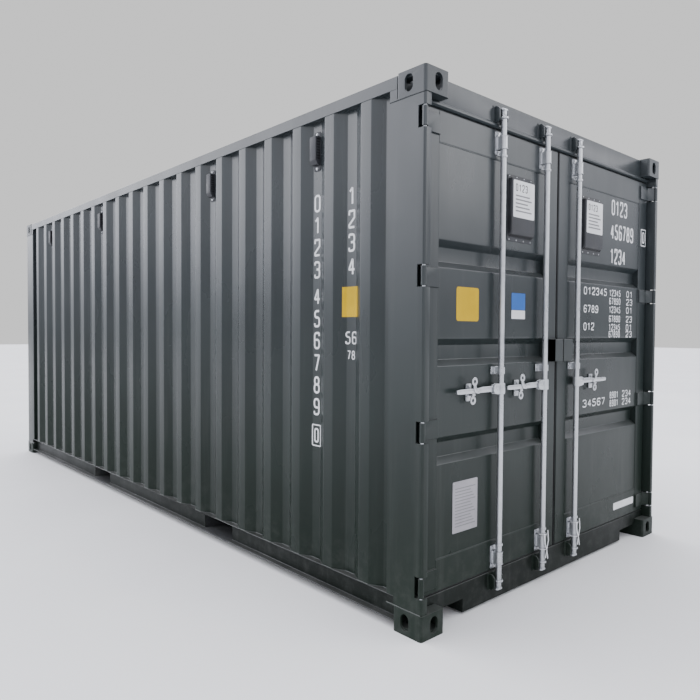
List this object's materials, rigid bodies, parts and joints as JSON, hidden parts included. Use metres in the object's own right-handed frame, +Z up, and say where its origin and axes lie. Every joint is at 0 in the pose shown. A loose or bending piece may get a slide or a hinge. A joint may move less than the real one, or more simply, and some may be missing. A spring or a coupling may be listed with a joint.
{
  "type": "shipping container",
  "caption": "Corrugated steel cargo box with corner castings, plywood floor, double end doors, lock rods and lift pockets.",
  "frame": {"origin": "centre of the container's footprint, at the level of the bottom corner castings' lower faces", "axes": "+X towards the door end along the length, +Z up, +Y to the side of the right-hand door seen from outside"},
  "size_m": [6.058, 2.438, 2.591],
  "materials": {
    "frame_paint": "satin dark grey paint",
    "panel_paint": "satin dark grey paint",
    "galvanised": "hot-dip galvanised steel, matt",
    "seal_rubber": "matt black rubber",
    "floor_wood": "sealed plywood",
    "vent_plastic": "matt plastic"
  },
  "bodies": {
    "container": {"top_castings": "frame_paint", "bottom_castings": "frame_paint", "rear_posts": "frame_paint", "hinge_pins": "frame_paint", "front_posts": "frame_paint", "bottom_side_rails": "frame_paint", "rail_pocket_strips": "frame_paint", "top_side_rails": "frame_paint", "front_top_rail": "frame_paint", "front_bottom_rail": "frame_paint", "door_header": "frame_paint", "door_sill": "frame_paint", "cam_keepers": "frame_paint", "right_side_wall": "panel_paint", "left_side_wall": "panel_paint", "front_wall": "panel_paint", "roof_panel": "panel_paint", "roof_header_plates": "panel_paint", "floor_beams": "frame_paint", "lift_pocket_plates": "frame_paint", "lift_pocket_sides": "frame_paint", "floor_boards": "floor_wood", "side_vents": "vent_plastic"},
    "left_door": {"left_door_frame": "frame_paint", "left_door_panel": "panel_paint", "left_door_gasket": "seal_rubber", "left_door_hinges": "frame_paint", "left_door_vent": "vent_plastic", "left_lock_box": "frame_paint", "left_rod_brackets": "galvanised", "left_handle_catches": "galvanised"},
    "right_door": {"right_door_frame": "frame_paint", "right_door_panel": "panel_paint", "right_door_gasket": "seal_rubber", "right_door_hinges": "frame_paint", "right_door_vent": "vent_plastic", "right_lock_box": "frame_paint", "right_rod_brackets": "galvanised", "right_handle_catches": "galvanised"},
    "outer_left_rod": {"outer_left_lock_rod": "galvanised", "outer_left_rod_cams": "galvanised", "outer_left_handle_hub": "galvanised"},
    "inner_left_rod": {"inner_left_lock_rod": "galvanised", "inner_left_rod_cams": "galvanised", "inner_left_handle_hub": "galvanised"},
    "right_rod": {"right_lock_rod": "galvanised", "right_rod_cams": "galvanised", "right_handle_hub": "galvanised"},
    "outer_left_handle": {"outer_left_handle": "galvanised"},
    "inner_left_handle": {"inner_left_handle": "galvanised"},
    "right_handle": {"right_handle": "galvanised"}
  },
  "joints": [
    {"name": "left_door_hinge", "type": "hinge", "parent": "container", "child": "left_door", "pos_m": [3.012, -1.202, 1.3], "axis": [0, 0, -1], "range_deg": [0, 265]},
    {"name": "right_door_hinge", "type": "hinge", "parent": "container", "child": "right_door", "pos_m": [3.012, 1.202, 1.3], "axis": [0, 0, 1], "range_deg": [0, 265]},
    {"name": "outer_left_rod_turn", "type": "hinge", "parent": "left_door", "child": "outer_left_rod", "pos_m": [3.002, -0.59, 1.117], "axis": [0, 0, -1], "range_deg": [-90, 0]},
    {"name": "outer_left_handle_lift", "type": "hinge", "parent": "outer_left_rod", "child": "outer_left_handle", "pos_m": [3.002, -0.63, 1.117], "axis": [1, 0, 0], "range_deg": [-25, 0]},
    {"name": "inner_left_rod_turn", "type": "hinge", "parent": "left_door", "child": "inner_left_rod", "pos_m": [3.002, -0.175, 1.117], "axis": [0, 0, -1], "range_deg": [-90, 0]},
    {"name": "inner_left_handle_lift", "type": "hinge", "parent": "inner_left_rod", "child": "inner_left_handle", "pos_m": [3.002, -0.215, 1.117], "axis": [1, 0, 0], "range_deg": [-25, 0]},
    {"name": "right_rod_turn", "type": "hinge", "parent": "right_door", "child": "right_rod", "pos_m": [3.002, 0.175, 1.117], "axis": [0, 0, 1], "range_deg": [-90, 0]},
    {"name": "right_handle_lift", "type": "hinge", "parent": "right_rod", "child": "right_handle", "pos_m": [3.002, 0.215, 1.117], "axis": [-1, 0, 0], "range_deg": [-25, 0]}
  ]
}
